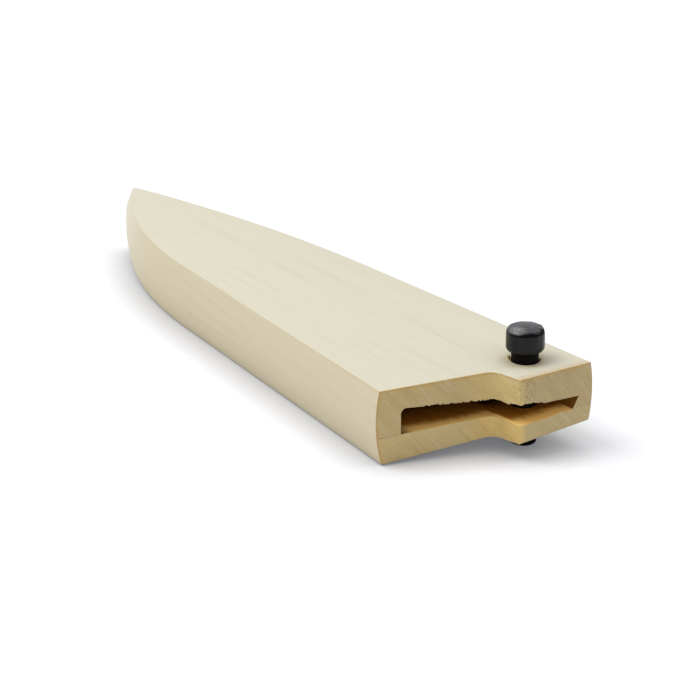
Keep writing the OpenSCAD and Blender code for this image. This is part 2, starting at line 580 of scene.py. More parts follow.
    def _rings(self) -> None:
        """Lays faint growth rings round a pith far off: thin lines along X, arcs at the end."""
        board, spot = self.board, self.spot
        warp = board.streaks(spot.mm, (0.004, 0.03, 0.03), 1.0)
        pith = (0, self.wood.pith_y, -self.wood.pith_z)
        bent = board.place(spot.mm, (1, 1, 1), (0, 0, 0.9), pith)
        parts = board.node("SeparateXYZ", {0: bent})
        squares = [board.math("POWER", parts.outputs[i], 2.0) for i in (1, 2)]
        radius = board.math("SQRT", board.plus(*squares))
        turns = board.plus(board.math("DIVIDE", radius, self.wood.ring_gap), board.times(warp, 2.4))
        saw = board.math("FRACT", turns)
        line = board.times(board.step(saw, 0.55, 0.93), board.step(saw, 1.0, 0.95))
        patch = board.streaks(spot.mm, (0.03, 0.12, 0.12), shift=(4, 2, 9))
        strength = board.times(board.times(line, board.step(patch, 0.38, 0.7)), 0.115)
        self._lay(strength, self.wood.grain)

    def _fibres(self) -> None:
        """Lays fine fibres along X, short thin dashes, and a broad faint drift of tone."""
        board, spot = self.board, self.spot
        fine = board.streaks(spot.mm, (0.05, 3.4, 3.4), 4.0, 0.6)
        dash = board.streaks(spot.mm, (0.09, 5.5, 5.5), 2.0, shift=(7, 1, 3))
        drift = board.streaks(spot.mm, (0.02, 0.09, 0.09), 2.0, shift=(2, 8, 5))
        long_share = board.minus(1.0, self.end_share)
        self._lay(board.times(board.step(fine, 0.35, 0.75), 0.08), self.wood.grain)
        dashes = board.times(board.times(board.step(dash, 0.63, 0.71), long_share), 0.21)
        self._lay(dashes, self.wood.grain)
        self._lay(board.step(drift, 0.3, 0.8, 0.05), self.wood.side)

    def _end_streaks(self) -> None:
        """Lays the slanting bands and rays of the end grain, and its fine speckle."""
        board, spot = self.board, self.spot
        turned = board.place(spot.mm, (1, 1, 1), (-49, 0, 0))
        slant = board.place(turned, (0.2, 0.09, 0.85), shift=(0, 3, 1))
        band = board.step(board.noise(slant, 1.0, 3.0, 0.6), 0.42, 0.68)
        fleck = board.step(board.noise(spot.mm, 3.6, 2.0, 0.7), 0.5, 0.75)
        share = board.plus(board.times(band, 0.11), board.times(fleck, 0.16))
        self._lay(board.times(share, self.end_share), self.wood.pore)
        apart = board.place(slant, (1, 1, 1), shift=(5, 1, 2))
        pale = board.step(board.noise(apart, 1.1, 2.0), 0.5, 0.72, 0.14)
        self._lay(board.times(pale, self.end_share), self.wood.face)

    def _pores(self) -> None:
        """Lays open pores in the end grain, thickest at the corner of the ear's upper half."""
        board, spot = self.board, self.spot
        cells = board.node("TexVoronoi", {"Vector": spot.mm, "Scale": 2.5}).outputs["Distance"]
        speck = board.step(cells, 0.42, 0.14)
        pick = board.streaks(spot.mm, (0.9, 0.9, 0.9), 2.0, shift=(3, 3, 3))
        near = board.away(spot.mm, (0.0, -6.4, 6.9))
        edge = board.away(spot.mm, (0.0, -12.0, 8.7))
        patch = board.larger(board.step(near, 4.2, 1.2), board.step(edge, 4.0, 1.0, 0.5))
        patch = board.larger(patch, board.step(pick, 0.52, 0.7, 0.4))
        share = board.times(board.times(speck, patch), self.end_share)
        self._lay(board.times(share, 0.78), self.wood.pore)

    def _glue(self) -> None:
        """Lays the line of glue: broken and brown on the end grain, faint on the side walls."""
        board, spot = self.board, self.spot
        wave = board.streaks(spot.mm, (0.5, 0.5, 0.0), 3.0, shift=(1, 5, 2))
        off = board.plus(spot.z, board.times(board.minus(wave, 0.5), 0.25))
        line = board.step(board.size(off), 0.2, 0.04)
        broken = board.streaks(spot.mm, (0.8, 0.8, 0.8), 3.0, shift=(9, 2, 2))
        broken = board.step(broken, 0.36, 0.62)
        upright = board.step(board.size(spot.face_z), 0.5, 0.2)
        spine_end = board.step(spot.y, 15.5, 18.5, 0.42)
        strength = board.plus(board.times(self.end_share, spine_end), 0.07)
        share = board.times(board.times(line, upright), board.times(broken, strength))
        self._lay(share, self.wood.glue)

    def _bump(self) -> Socket:
        """Raises fibres along X, and saw marks down the end faces.

        Returns:
            The bent normal.
        """
        board, spot = self.board, self.spot
        fine = board.streaks(spot.mm, (0.05, 3.2, 3.2), 4.0, 0.65)
        saw = board.streaks(spot.mm, (3.5, 3.5, 0.3), 3.0, 0.6)
        saw = board.times(saw, self.end_share)
        height = board.plus(fine, board.times(saw, 1.5))
        inputs = {"Height": height, "Strength": 0.4, "Distance": 0.00006}
        return board.node("Bump", inputs).outputs[0]


@dataclass(frozen=True)
class BlackWood:
    """Turned black wood: rubbed to a satin shine, with a painted sheen that makes it greyer on top
    and a painted highlight on the crown, or left as it was cut.
    """

    name: str = "black_wood"
    dark: Colour = srgb(13, 12, 15)
    # Grey-blue of patchy wear and of a painted sheen on faces that look up
    sheen_and_wear: Colour = srgb(84, 88, 98)
    roughness: float = 0.3
    gloss: float = 0.25
    # Painted highlight on the crown's front-left: its colour and its centre
    highlight_tone: Colour = srgb(150, 150, 146)
    highlight_at: Pair = (7.7, -9.5)

    def material(self) -> bpy.types.Material:
        """Builds the black wood.

        Returns:
            The material.
        """
        board = NodeBoard(bpy.data.materials.new(self.name))
        spot = Spot.read(board)
        grain = board.streaks(spot.mm, (2.6, 2.6, 0.35), 4.0, 0.6)
        blotch = board.streaks(spot.mm, (0.9, 0.9, 0.9), 3.0)
        # Faces that look up turn grey-blue in blotches: painted sheen, partly wear
        up = board.step(spot.face_z, 0.4, 0.95)
        sheen_and_wear = board.times(up, board.step(blotch, 0.25, 0.75))
        sheen_and_wear = board.plus(board.times(sheen_and_wear, 0.5), board.step(grain, 0.5, 0.85, 0.12))
        # A painted highlight on the crown's front-left
        off = board.away(spot.flat(board), (*self.highlight_at, 0.0))
        painted_highlight = board.times(board.step(off, 2.4, 0.5), board.step(spot.face_z, 0.25, 0.6))
        painted_highlight = board.times(painted_highlight, board.step(grain, 0.3, 0.6, 0.8))
        tone = board.mix(painted_highlight, board.mix(sheen_and_wear, self.dark, self.sheen_and_wear), self.highlight_tone)
        uneven = board.times(board.minus(blotch, 0.5), 0.25)
        rough = board.plus(uneven, self.roughness)
        bump = board.node("Bump", {"Height": grain, "Strength": 0.25, "Distance": 0.00005})
        inputs = {"Base Color": tone, "Roughness": rough, "Normal": bump.outputs[0]}
        inputs |= {"Specular IOR Level": self.gloss}
        return board.finish(board.node("BsdfPrincipled", inputs))


@dataclass(frozen=True)
class TornWood:
    """Splintered fibre, greener and darker than the planed wood."""

    name: str = "torn_wood"
    light: Colour = srgb(182, 158, 96)
    dark: Colour = srgb(84, 64, 28)

    def material(self) -> bpy.types.Material:
        """Builds the torn fibre's finish.

        Returns:
            The material.
        """
        board = NodeBoard(bpy.data.materials.new(self.name))
        blotch = board.step(board.noise(Spot.read(board).mm, 1.6, 3.0), 0.35, 0.65)
        tone = board.mix(blotch, self.light, self.dark)
        return board.finish(board.node("BsdfPrincipled", {"Base Color": tone, "Roughness": 0.75}))


@dataclass(frozen=True)
class StudioFloor:
    """A white floor that keeps the object's shadow, with painted contact shadow near the object,
    and looks plain white elsewhere.
    """

    name: str = "studio_floor"
    shade: Colour = (0.94, 0.945, 0.975, 1.0)
    tint: Colour = (0.97, 1.0, 1.12, 1.0)
    lift: float = 0.12
    painted_contact_shade: float = 0.6

    def material(self) -> bpy.types.Material:
        """Builds the floor's finish: diffuse for the shadow, darkened near the object by painted
        contact shadow, lifted to white for the camera.

        Returns:
            The material, clear from below.
        """
        board = NodeBoard(bpy.data.materials.new(self.name))
        camera = board.node("LightPath").outputs["Is Camera Ray"]
        lift = board.node("Emission", {"Color": self.tint, "Strength": self.lift})
        none = board.node("Emission", {"Color": (0, 0, 0, 1), "Strength": 0.0})
        seen = board.node("MixShader", {0: camera, 1: none.outputs[0], 2: lift.outputs[0]})
        # Painted contact shadow: the floor's colour darkens where the object is near
        near = board.node("AmbientOcclusion", {"Distance": 0.01}, samples=8).outputs["AO"]
        contact_shadow_share = board.math("MULTIPLY_ADD", near, self.painted_contact_shade, 1 - self.painted_contact_shade)
        tone = board.mix(contact_shadow_share, (0, 0, 0, 1), self.shade)
        base = board.node("BsdfDiffuse", {"Color": tone})
        lit = board.node("AddShader", {0: base.outputs[0], 1: seen.outputs[0]})
        clear = board.node("BsdfTransparent")
        below = board.node("NewGeometry").outputs["Backfacing"]
        sides = {0: below, 1: lit.outputs[0], 2: clear.outputs[0]}
        return board.finish(board.node("MixShader", sides))


@dataclass(frozen=True)
class SheathOutline:
    """The sheath's outline in plan, in millimetres, as the CAD part draws it."""

    half_w: float = 23.4
    point: Pair = (156.0, -2.0)
    spine_fall: float = 3.2
    spine_run: float = 96.0
    edge_rise: float = 3.8
    edge_run: float = 72.0

    def _side(self, x: float, y: float, fall: float, run: float, end: Pair) -> float:
        """Distance inwards from one side, drawn as the spine side.

        Args:
            x: Place along the length.
            y: Place across the width.
            fall: How steeply the side's straight run falls, in degrees.
            run: Where the straight run ends and the arc starts.
            end: Where the arc ends.

        Returns:
            The distance, positive inside.
        """
        along = Vector((math.cos(math.radians(fall)), -math.sin(math.radians(fall))))
        inner = Vector((along.y, -along.x))
        leave = Vector((run, self.half_w - run * math.tan(math.radians(fall))))
        chord = Vector(end) - leave
        radius = chord.length_squared / (2 * chord.dot(inner))
        off = Vector((x, y)) - leave
        if off.dot(along) <= 0:
            return off.dot(inner)
        return radius - (off - inner * radius).length

    def depth(self, x: float, y: float) -> float:
        """How far inside the outline a place is.

        Args:
            x: Place along the length, in millimetres.
            y: Place across the width, in millimetres.

        Returns:
            The distance to the nearer side, positive inside.
        """
        spine = self._side(x, y, self.spine_fall, self.spine_run, self.point)
        edge = self._side(x, -y, self.edge_rise, self.edge_run, (self.point[0], -self.point[1]))
        return min(spine, edge)


@dataclass
class SheathHalf:
    """One glued half: a copy of the CAD node, shaped at the point, with eased arrises."""

    node: str
    name: str
    slot: Slot
    finish: PaleWood
    outline: SheathOutline = field(default_factory=SheathOutline)
    # Size of the rounded arrises, and the places along the length between which they fade out
    arris: float = 0.28
    arris_full: float = 130.0
    arris_end: float = 139.0
    # Least angle of an edge that sandpaper rounds, in degrees, and the height of the glue line's
    # edges, which it leaves
    sharp: float = 35.0
    glue_line: float = 0.02
    # How far the mouth reaches back along the length, and how deep its arrises lie
    mouth_end: float = 12.0
    mouth_skin: float = 0.6
    # Depth in from the outline that still counts as side wall
    skin: float = 1.7
    # Height of wall that is kept clear beside an arris, how far the wall leans out over it, the
    # stretch along the length where that is done, and the height under the face that is left
    strip: float = 0.7
    wall_lean: float = 0.17
    strip_run: Pair = (14.0, 146.0)
    face_skin: float = 0.006
    # How much fuller the walls are at the point, and where that starts and is full
    swell: float = 0.85
    swell_start: float = 98.0
    swell_full: float = 145.0
    # Heights where the fullness ends and is whole
    swell_top: float = 9.3
    swell_low: float = 2.0
    # The stretch over which those heights rise towards the point, and how far each rises
    nose_run: Pair = (140.0, 151.0)
    nose_rise: Pair = (0.5, 3.6)
    # Where the nose starts, and the gap under which its vertices are merged
    nose: float = 150.0
    nose_gap: float = 0.25

    def build(self) -> bpy.types.Object:
        """Models the half.

        Returns:
            The finished piece, riding on the sheath.
        """
        piece = Bench.copy_node(self.node, self.name)
        self._thin_nose(piece)
        self._widen_strips(piece)
        self._fill_out(piece)
        self._tear(piece)
        self._ease(piece)
        Bench.pick(piece)
        bpy.ops.object.shade_smooth_by_angle(angle=math.radians(30))
        piece.data.materials.clear()
        piece.data.materials.append(self.finish.material())
        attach(piece, Body.SHEATH.value)
        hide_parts(self.node)
        log.info("%s: %d faces", piece.name, len(piece.data.polygons))
        return piece

    def _thin_nose(self, piece: bpy.types.Object) -> None:
        """Merges the crowded vertices of the nose, so that its arris can be rounded.

        Args:
            piece: The half.
        """
        mesh = Bench.edit(piece)
        bpy.ops.mesh.select_mode(type="VERT")
        for vertex in mesh.verts:
            vertex.select = vertex.co.x > self.nose * MM
        bmesh.update_edit_mesh(piece.data)
        bpy.ops.mesh.remove_doubles(threshold=self.nose_gap * MM)
        Bench.done()

    def _widen_strips(self, piece: bpy.types.Object) -> None:
        """Slides the vertices that crowd an arris down the wall, so that it can be rounded.

        Args:
            piece: The half.
        """
        mesh = Bench.edit(piece)
        mesh.normal_update()
        start, end = self.strip_run
        for vertex in mesh.verts:
            x, y, z = in_mm(vertex.co)
            inner = self._inside(y, z)
            crowded = start < x < end and self.face_skin < inner < self.strip
            if not crowded or self.outline.depth(x, y) > self.skin:
                continue
            slide = self.strip - inner
            outward = Vector((vertex.normal.x, vertex.normal.y, 0)).normalized()
            down = Vector((0, 0, math.copysign(1, z)))
            vertex.co += (outward * self.wall_lean - down) * slide * MM
        bmesh.update_edit_mesh(piece.data)
        Bench.done()

    def _inside(self, y: float, z: float) -> float:
        """How far a place is inside this half's broad outer face, in millimetres."""
        raise NotImplementedError

    def _fill_out(self, piece: bpy.types.Object) -> None:
        """Makes the walls fuller towards the point, below the show face, as the real ones are.

        Args:
            piece: The half.
        """
        mesh = Bench.edit(piece)
        mesh.normal_update()
        for vertex in mesh.verts:
            x, y, z = in_mm(vertex.co)
            if x < self.swell_start or self.outline.depth(x, y) > self.skin:
                continue
            outward = Vector((vertex.normal.x, vertex.normal.y, 0))
            if outward.length < 1e-4:
                continue
            at_nose = smooth(x, *self.nose_run)
            top = self.swell_top + self.nose_rise[0] * at_nose
            low = self.swell_low + self.nose_rise[1] * at_nose
            share = smooth(x, self.swell_start, self.swell_full) * smooth(z, top, low)
            vertex.co += outward.normalized() * self.swell * share * MM
        bmesh.update_edit_mesh(piece.data)
        Bench.done()

    def _tear(self, piece: bpy.types.Object) -> None:
        """Leaves a plain half's edges whole."""

    def _eased(self, edge: bmesh.types.BMEdge) -> bool:
        """Whether sandpaper reached an edge: a sharp one, outside, and not at the glue line.

        Args:
            edge: The edge.

        Returns:
            True for an edge that is rounded.
        """
        if not edge.is_manifold or edge.calc_face_angle() < math.radians(self.sharp):
            return False
        middle = (edge.verts[0].co + edge.verts[1].co) / 2
        x, y, z = in_mm(middle)
        if abs(z) < self.glue_line:
            return False
        normals = [f.normal for f in edge.link_faces]
        broad = any(abs(n.z) > 0.9 for n in normals)
        if self.outline.depth(x, y) < self.skin:
            return broad or x < 2
        mouth = any(n.x < -0.3 for n in normals)
        return broad and (mouth or x < self.mouth_end) and self._inside(y, z) < self.mouth_skin

    def _ease(self, piece: bpy.types.Object) -> None:
        """Rounds the outer arrises a little.

        Args:
            piece: The half.
        """
        mesh = Bench.edit(piece)
        weight = mesh.edges.layers.float.new("bevel_weight_edge")
        count = 0
        for edge in mesh.edges:
            if not self._eased(edge):
                continue
            x = (edge.verts[0].co.x + edge.verts[1].co.x) / 2 / MM
            edge[weight] = smooth(x, self.arris_end, self.arris_full)
            count += 1
        bmesh.update_edit_mesh(piece.data)
        Bench.done()
        ease = piece.modifiers.new("eased", "BEVEL")
        ease.limit_method = "WEIGHT"
        ease.width = self.arris * MM
        ease.segments = 3
        ease.use_clamp_overlap = False
        Bench.apply(piece)
        Bench.edit(piece)
        bpy.ops.mesh.select_all(action="SELECT")
        bpy.ops.mesh.remove_doubles(threshold=4e-6)
        Bench.done()
        log.info("%s: %d arrises eased", piece.name, count)


@dataclass
class ShowHalf(SheathHalf):
    """The half with the broad show face, the carved slot and the torn edge at its mouth."""

    chips: int = 110
    # Least and greatest half-size of a chip along the length, across and in height
    chip_sizes: tuple[Pair, Pair, Pair] = ((0.8, 2.0), (0.16, 0.42), (0.14, 0.34))
    # How far a chip is turned about each axis at most, in radians, and how uneven it is
    chip_tilts: Triple = (0.4, 0.05, 0.16)
    chip_rough: float = 0.22
    seed: int = 11
    # The stretch of the mouth, across the width, where fibres are torn
    torn: Pair = (-14.0, 12.0)
    # The heights between which the roof's edge lies at the mouth, and its least angle in degrees
    roof_heights: Pair = (1.5, 6.5)
    roof_angle: float = 50.0
    # The foot of the slot's far wall at the mouth: its stretch, its depth and its shift
    foot: Pair = (-20.5, -18.5)
    foot_depth: float = 3.0
    foot_shift: float = 1.5

    def _inside(self, y: float, z: float) -> float:
        """Below the show face, which slopes from 10.1 at the spine to 9.2 at the edge."""
        return SHOW_FACE + SHOW_RISE * y - z

    def _roof_edge(self, piece: bpy.types.Object) -> list[tuple[Vector, Vector]]:
        """The edges where the slot's roof meets the mouth's faces.

        Args:
            piece: The half.

        Returns:
            Pairs of end points, in metres.
        """
        mesh = bmesh.new()
        mesh.from_mesh(piece.data)
        found = []
        for edge in mesh.edges:
            if len(edge.link_faces) != 2 or edge.calc_face_angle(0) < math.radians(self.roof_angle):
                continue
            a, b = (f.normal for f in edge.link_faces)
            middle = (edge.verts[0].co + edge.verts[1].co) / 2 / MM
            roof = min(a.z, b.z) < -0.8
            mouth = min(a.x, b.x) < -0.15 or max(abs(a.y), abs(b.y)) > 0.6
            if roof and mouth and self._at_roof(middle):
                found.append((edge.verts[0].co.copy(), edge.verts[1].co.copy()))
        mesh.free()
        return found

    def _at_roof(self, place: Vector) -> bool:
        """Whether a place, in millimetres, is at the mouth and as high as the slot's roof."""
        return self.roof_heights[0] < place.z < self.roof_heights[1] and place.x < self.mouth_end

    def _fill_out(self, piece: bpy.types.Object) -> None:
        """Fills out the walls, and leans the slot's far wall where the chisel ran out.

        Args:
            piece: The half.
        """
        super()._fill_out(piece)
        for vertex in piece.data.vertices:
            x, y, z = in_mm(vertex.co)
            low = abs(z) < self.glue_line and x < self.foot_depth
            if low and self.foot[0] < y < self.foot[1]:
                vertex.co.y += self.foot_shift * MM

    def _tear(self, piece: bpy.types.Object) -> None:
        """Cuts small chips out of the roof's edge at the mouth, where the chisel tore the fibres.

        Args:
            piece: The half.
        """
        stretches = self._roof_edge(piece)
        if not stretches:
            log.warning("no edge found for the torn fibres")
            return
        draw = random.Random(self.seed)
        lengths = [(b - a).length for a, b in stretches]
        cutters = []
        for _ in range(self.chips):
            a, b = draw.choices(stretches, weights=lengths)[0]
            place = a.lerp(b, draw.random())
            if not self.torn[0] < place.y / MM < self.torn[1]:
                continue
            reach, width, height = (draw.uniform(*span) for span in self.chip_sizes)
            size = Vector((reach, width, height)) * MM
            Bench.clear()
            bpy.ops.mesh.primitive_ico_sphere_add(subdivisions=1, radius=1.0, location=place)
            chip = bpy.context.object
            chip.scale = size
            chip.rotation_euler = [draw.uniform(-most, most) for most in self.chip_tilts]
            Bench.settle(chip)
            for vertex in chip.data.vertices:
                vertex.co += Vector([draw.uniform(-1, 1) * s * self.chip_rough for s in size])
            cutters.append(chip)
        cutter = Bench.join(cutters, "chip_cutter")
        Bench.pick(piece)
        cut = piece.modifiers.new("chips", "BOOLEAN")
        cut.operation = "DIFFERENCE"
        cut.solver = "EXACT"
        cut.use_self = True
        cut.object = cutter
        Bench.apply(piece)
        bpy.data.objects.remove(cutter)


@dataclass
class BackHalf(SheathHalf):
    """The thin flat half."""

    def _inside(self, y: float, z: float) -> float:
        """Above the underside, which slopes from -5.9 at the spine to -3.5 at the edge."""
        return z - UNDERSIDE - UNDER_RISE * y


@dataclass
class LockingPin:
    """The turned pin: shank, undercut, head with a hand-cut bevel and a slight crown."""

    name: str = "locking_pin_turned"
    axis: Pair = PIN_AXIS
    finish: BlackWood = field(default_factory=BlackWood)
    cut_finish: BlackWood = BlackWood("black_wood_cut", srgb(7, 6, 6), srgb(17, 14, 12),
                                      0.6, 0.07, srgb(17, 14, 12))
    # Height of the head, the radius of the rounding below it, and where its shoulder starts
    head: float = 5.25
    round_r: float = 1.1
    shoulder: float = 3.95
    # Radius where the rounding and the bevel round the top leave off, the bevel's width and
    # height, and how full its curve is
    flat_r: float = 2.85
    bevel: Pair = (1.09, 1.12)
    bevel_curve: float = 0.7
    # Radius and height of the shank's rings over its lower end
    shank: tuple[Pair, ...] = ((1.2, 0.0), (2.1, 0.02), (2.45, 0.1), (2.68, 0.26), (2.79, 0.5),
                               (2.8, 2.0), (2.8, 6.0), (2.79, 10.0), (2.8, 14.0))
    # The same for the rings near the head's underside and up its side, over that underside
    neck: tuple[Pair, ...] = ((2.8, -1.6), (2.8, -0.8), (2.8, -0.12), (2.86, 0.0), (3.05, 0.04))
    side: tuple[Pair, ...] = ((3.95, 1.8), (3.94, 2.6), (3.94, 3.4), (3.93, 3.8))
    # The same for the crown, under its middle
    crown: tuple[Pair, ...] = ((2.4, -0.11), (1.7, -0.06), (1.0, -0.02), (0.4, 0.0))
    # Direction of the rim's side that the camera sees, in degrees
    front_turn: float = 141.0
    around: int = 144
    # Number of the bevel's knife cuts, their depths, and how uneven the rest of the head is
    facets: int = 9
    cuts: Pair = (0.01, 0.09)
    uneven: float = 0.07
    # Where the cuts grow to their depth: heights under the crown, and radii. Share of a cut's depth
    # that goes down, and the height over the head's underside where the unevenness is full
    cut_heights: Pair = (1.75, 1.1)
    cut_radii: Pair = (2.2, 3.0)
    cut_fall: float = 0.3
    uneven_full: float = 1.2
    # The unrubbed parts, as heights over the head's underside: the shank's top, and the scallops'
    # start and lowest tip. The scallops keep outside a radius
    bare_top: float = 0.6
    scallop_start: float = 3.98
    scallop_tip: float = 4.05
    scallop_r: float = 2.4
    # Least and added height of the scallops, the arcs from the front over which the added height
    # comes and goes, the scallops in half a turn with their shift in degrees, and the shares of
    # their height that are even, lobed and ragged
    scallop_heights: Pair = (0.3, 0.75)
    scallop_arcs: tuple[Pair, Pair] = ((-35.0, 5.0), (150.0, 110.0))
    scallop_lobes: Pair = (3.4, 25.0)
    scallop_shares: Triple = (0.5, 0.38, 0.35)
    seed: int = 5

    def _profile(self, low: float, top: float) -> list[Pair]:
        """The pin's outline from its lower end to the middle of its crown, radius and height in mm.

        Args:
            low: Height of the lower end.
            top: Height of the crown's middle.

        Returns:
            Radius and height, one pair for each ring.
        """
        under = top - self.head
        width, tall = self.bevel
        ring = [(radius, low + over) for radius, over in self.shank]
        ring += [(radius, under + over) for radius, over in self.neck]
        for degrees in range(15, 91, 15):
            a = math.radians(degrees)
            rise = self.round_r - self.round_r * math.cos(a)
            ring.append((self.flat_r + self.round_r * math.sin(a), under + rise))
        ring += [(radius, under + over) for radius, over in self.side]
        for degrees in range(10, 91, 8):
            a = math.radians(degrees)
            height = under + self.shoulder + tall * math.sin(a)
            ring.append((self.flat_r + width * math.cos(a) ** self.bevel_curve, height))
        ring += [(radius, top + over) for radius, over in self.crown]
        return ring

    def build(self) -> bpy.types.Object:
        """Models the pin by drawing a ring up its outline.

        Returns:
            The finished piece, riding on the pin's body.
        """
        low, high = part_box("locking_pin")
        rings = self._profile(low.z / MM, high.z / MM)
        centre = Vector((self.axis[0] * MM, self.axis[1] * MM, 0))
        Bench.clear()
        radius, height = rings[0]
        bpy.ops.mesh.primitive_circle_add(vertices=self.around, radius=radius * MM,
                                          fill_type="NGON",
                                          location=(centre.x, centre.y, height * MM))
        piece = bpy.context.object
        piece.name = self.name
        piece.data.name = self.name
        Bench.settle(piece)
        Bench.pick(piece)
        bpy.ops.object.mode_set(mode="EDIT")
        bpy.ops.mesh.select_all(action="SELECT")
        for wider, higher in rings[1:]:
            lift = (0, 0, (higher - height) * MM)
            bpy.ops.mesh.extrude_region_move(TRANSFORM_OT_translate={"value": lift})
            ratio = wider / radius
            middle = (centre.x, centre.y, higher * MM)
            bpy.ops.transform.resize(value=(ratio, ratio, 1), center_override=middle)
            radius, height = wider, higher
        bpy.ops.mesh.select_all(action="SELECT")
        bpy.ops.mesh.normals_make_consistent(inside=False)
        Bench.done()
        self._cut_by_hand(piece, centre, rings)
        Bench.pick(piece)
        bpy.ops.object.shade_smooth_by_angle(angle=math.radians(28))
        piece.data.materials.append(self.finish.material())
        piece.data.materials.append(self.cut_finish.material())
        self._leave_cut(piece, centre, high.z / MM - self.head)
        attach(piece, Body.PIN.value)
        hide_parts("locking_pin")
        log.info("%s: %d faces", piece.name, len(piece.data.polygons))
        return piece

    def _cut_by_hand(self, piece: bpy.types.Object, centre: Vector, rings: list[Pair]) -> None:
        """Leaves the bevel faceted and the head a touch uneven, as a knife leaves them.

        Args:
            piece: The pin.
            centre: Its axis.
            rings: Its outline.
        """
        draw = random.Random(self.seed)
        top = rings[-1][1]
        under = top - self.head
        start, full = (top - height for height in self.cut_heights)
        depths = [draw.uniform(*self.cuts) for _ in range(self.facets)]
        mesh = Bench.edit(piece)
        for vertex in mesh.verts:
            out = Vector((vertex.co.x - centre.x, vertex.co.y - centre.y, 0))
            if out.length < 1e-6:
                continue
            z = vertex.co.z / MM
            turn = (math.atan2(out.y, out.x) / (2 * math.pi) + 0.5) * self.facets
            swing = abs(turn % 1.0 - 0.5) * 2
            cut = depths[int(turn) % self.facets] * (1 - swing * swing)
            rim = smooth(z, start, full) * smooth(out.length / MM, *self.cut_radii)
            place = Vector((out.x, out.y, vertex.co.z * 0.35)) / MM * 0.8
            rough = noise.noise(place + Vector((3, 1, 7)))
            head = smooth(z, under, under + self.uneven_full)
            vertex.co -= out.normalized() * (cut * rim + rough * self.uneven * head) * MM
            vertex.co.z -= cut * rim * self.cut_fall * MM
        bmesh.update_edit_mesh(piece.data)
        Bench.done()

    def _leave_cut(self, piece: bpy.types.Object, centre: Vector, under: float) -> None:
        """Gives the shank and the scallops of the rim the unrubbed finish.

        Args:
            piece: The pin.
            centre: Its axis.
            under: Height of the head's underside, in millimetres.
        """
        least, added = self.scallop_heights
        comes, goes = self.scallop_arcs
        lobes, shift = self.scallop_lobes
        even, lobed, torn = self.scallop_shares
        for face in piece.data.polygons:
            middle = face.center
            z = middle.z / MM - under
            out = Vector((middle.x - centre.x, middle.y - centre.y))
            turn = (math.degrees(math.atan2(out.y, out.x)) - self.front_turn + 540) % 360 - 180
            ragged = noise.noise(Vector((out.x, out.y, 0)) / MM * 1.3 + Vector((8, 2, 5)))
            width = least + added * smooth(turn, *comes) * smooth(turn, *goes)
            lobe = abs(math.sin(math.radians(turn * lobes + shift)))
            upper = self.scallop_tip + width * (even + lobed * lobe + torn * ragged)
            on_rim = self.scallop_start < z < upper and out.length > self.scallop_r * MM
            if z < self.bare_top or on_rim:
                face.material_index = 1


@dataclass
class HoleSplinters:
    """Fibres that the drill lifted round the pin's hole on the show face."""

    name: str = "hole_splinters"
    axis: Pair = PIN_AXIS
    finish: TornWood = field(default_factory=TornWood)
    reach: float = 2.86
    # Direction, number and height of each tuft of fibres
    tufts: tuple[tuple[float, int, float], ...] = (
        (48.0, 16, 0.95), (228.0, 9, 0.75), (140.0, 3, 0.35), (300.0, 3, 0.4),
    )
    spread: float = 14.0
    # Radius of a splinter's foot and tip, how it is flattened, and how deep it is rooted
    thick: Pair = (0.15, 0.03)
    flattened: Pair = (1.4, 0.8)
    root: float = 0.15
    # Least and greatest gap to the hole, share of the usual height, lean off the pin and sideways
    gaps: Pair = (0.05, 0.3)
    heights: Pair = (0.5, 1.1)
    leans: Pair = (0.1, 0.5)
    sways: Pair = (-0.4, 0.4)
    seed: int = 23

    def build(self) -> bpy.types.Object:
        """Models the splinters.

        Returns:
            The finished piece, riding on the sheath.
        """
        draw = random.Random(self.seed)
        made = []
        for middle, count, tall in self.tufts:
            for _ in range(count):
                angle = middle + draw.uniform(-self.spread, self.spread)
                made.append(self._splinter(draw, math.radians(angle), tall))
        piece = Bench.join(made, self.name)
        Bench.pick(piece)
        bpy.ops.object.shade_smooth_by_angle(angle=math.radians(60))
        piece.data.materials.clear()
        piece.data.materials.append(self.finish.material())
        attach(piece, Body.SHEATH.value)
        log.info("%s: %d faces", piece.name, len(piece.data.polygons))
        return piece

    def _splinter(self, draw: random.Random, angle: float, tall: float) -> bpy.types.Object:
        """One curved sliver that starts in the wood beside the hole and leans off the pin.

        Args:
            draw: The source of small differences.
            angle: Where round the hole it stands.
            tall: Its usual height, in millimetres.

        Returns:
            The sliver.
        """
        ground = self._face_height(self.axis[1] + self.reach * math.sin(angle))
        out = Vector((math.cos(angle), math.sin(angle), 0))
        foot = Vector((*self.axis, ground - self.root))
        foot += out * (self.reach + draw.uniform(*self.gaps))
        height = tall * draw.uniform(*self.heights)
        Bench.clear()
        broad, fine = (radius * MM for radius in self.thick)
        bpy.ops.mesh.primitive_cone_add(vertices=5, radius1=broad, radius2=fine,
                                        depth=height * MM, location=(0, 0, height * MM / 2))
        sliver = bpy.context.object
        Bench.settle(sliver)
        Bench.edit(sliver)
        for share in (0.4, 0.7):
            bpy.ops.mesh.select_all(action="SELECT")
            bpy.ops.mesh.bisect(plane_co=(0, 0, height * MM * share), plane_no=(0, 0, 1))
        Bench.done()
        lean = draw.uniform(*self.leans)
        side = Vector((-out.y, out.x, 0)) * draw.uniform(*self.sways)
        for vertex in sliver.data.vertices:
            up = vertex.co.z / (height * MM)
            vertex.co *= Vector((*self.flattened, 1.0))
            vertex.co += (out * lean + side) * up * up * height * MM
            vertex.co += foot * MM
        return sliver

    @staticmethod
    def _face_height(y: float) -> float:
        """Height of the show face over a place across the width, in millimetres."""
        return SHOW_FACE + SHOW_RISE * y


